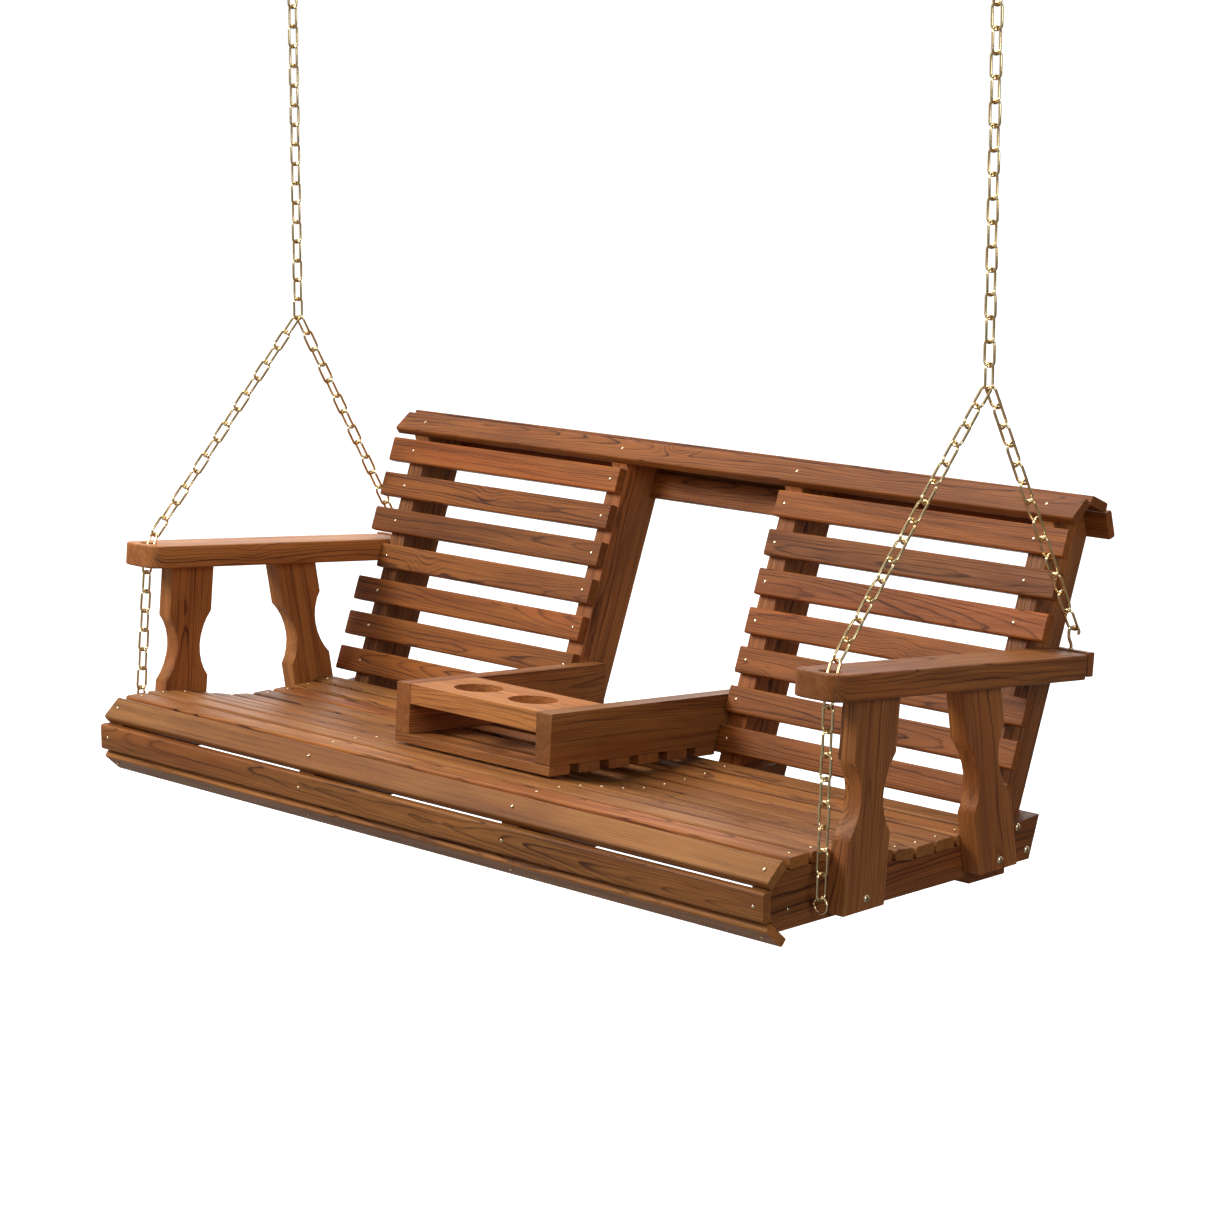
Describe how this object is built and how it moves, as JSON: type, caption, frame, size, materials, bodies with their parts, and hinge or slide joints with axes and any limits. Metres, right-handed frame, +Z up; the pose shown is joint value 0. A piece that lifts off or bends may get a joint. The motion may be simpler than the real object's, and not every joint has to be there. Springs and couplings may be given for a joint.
{
  "type": "porch swing seat",
  "caption": "Slatted wooden porch swing bench hung on brass chains, with a fold-down cup-holder console between the seats.",
  "frame": {"origin": "on the ceiling plane, midway between the two hanger plates", "axes": "+X towards the right end as seen from in front of the seat, +Y towards the back of the seat, +Z up; the seat faces -Y"},
  "size_m": [1.624, 0.7969, 1.3666],
  "materials": {
    "seat_wood": "penetrating red-brown stain over softwood, satin",
    "back_wood": "penetrating red-brown stain over softwood, satin",
    "frame_wood": "penetrating red-brown stain over softwood, satin, on the rails and back supports",
    "arm_wood": "penetrating red-brown stain over softwood, satin, a little darker and greyer",
    "console_wood": "penetrating red-brown stain over softwood, satin",
    "brass": "bright brass plating"
  },
  "bodies": {
    "ceiling_hangers": {"right_ceiling_hanger": "brass", "left_ceiling_hanger": "brass"},
    "upper_chains": {"right_upper_chain": "brass", "left_upper_chain": "brass"},
    "seat": {"right_outer_seat_rail": "frame_wood", "left_outer_seat_rail": "frame_wood", "right_inner_seat_rail": "frame_wood", "left_inner_seat_rail": "frame_wood", "seat_slat_1": "seat_wood", "seat_slat_2": "seat_wood", "seat_slat_3": "seat_wood", "seat_slat_4": "seat_wood", "seat_slat_5": "seat_wood", "seat_slat_6": "seat_wood", "seat_slat_7": "seat_wood", "seat_slat_8": "seat_wood", "seat_slat_9": "seat_wood", "seat_slat_10": "seat_wood", "upper_front_board": "seat_wood", "middle_front_board": "seat_wood", "lower_front_board": "seat_wood", "under_seat_stretcher": "frame_wood", "right_outer_back_support": "frame_wood", "left_outer_back_support": "frame_wood", "right_inner_back_support": "frame_wood", "left_inner_back_support": "frame_wood", "right_back_slat_1": "back_wood", "left_back_slat_1": "back_wood", "right_back_slat_2": "back_wood", "left_back_slat_2": "back_wood", "right_back_slat_3": "back_wood", "left_back_slat_3": "back_wood", "right_back_slat_4": "back_wood", "left_back_slat_4": "back_wood", "right_back_slat_5": "back_wood", "left_back_slat_5": "back_wood", "right_back_slat_6": "back_wood", "left_back_slat_6": "back_wood", "right_back_slat_7": "back_wood", "left_back_slat_7": "back_wood", "front_top_board": "back_wood", "crown_board": "back_wood", "rear_top_board": "back_wood", "console_stop_board": "back_wood", "right_armrest": "arm_wood", "left_armrest": "arm_wood", "right_front_arm_post": "arm_wood", "left_front_arm_post": "arm_wood", "right_rear_arm_post": "arm_wood", "left_rear_arm_post": "arm_wood", "right_arm_end_block": "arm_wood", "left_arm_end_block": "arm_wood", "console_hinge_rod": "brass", "right_front_chain": "brass", "left_front_chain": "brass", "right_rear_chain": "brass", "left_rear_chain": "brass"},
    "console": {"console_right_arm": "console_wood", "console_left_arm_and_slats": "console_wood", "cup_holder_board": "console_wood"}
  },
  "joints": [
    {"name": "chain_swing", "type": "hinge", "parent": "ceiling_hangers", "child": "upper_chains", "pos_m": [0, 0, -0.04175], "axis": [1, 0, 0], "range_deg": [-25, 25]},
    {"name": "seat_pitch", "type": "hinge", "parent": "upper_chains", "child": "seat", "pos_m": [0, 0, -0.6125], "axis": [1, 0, 0], "range_deg": [-15, 15]},
    {"name": "console_fold", "type": "hinge", "parent": "seat", "child": "console", "pos_m": [0, 0.10303, -1.24402], "axis": [-1, 0, 0], "range_deg": [0, 104]}
  ]
}
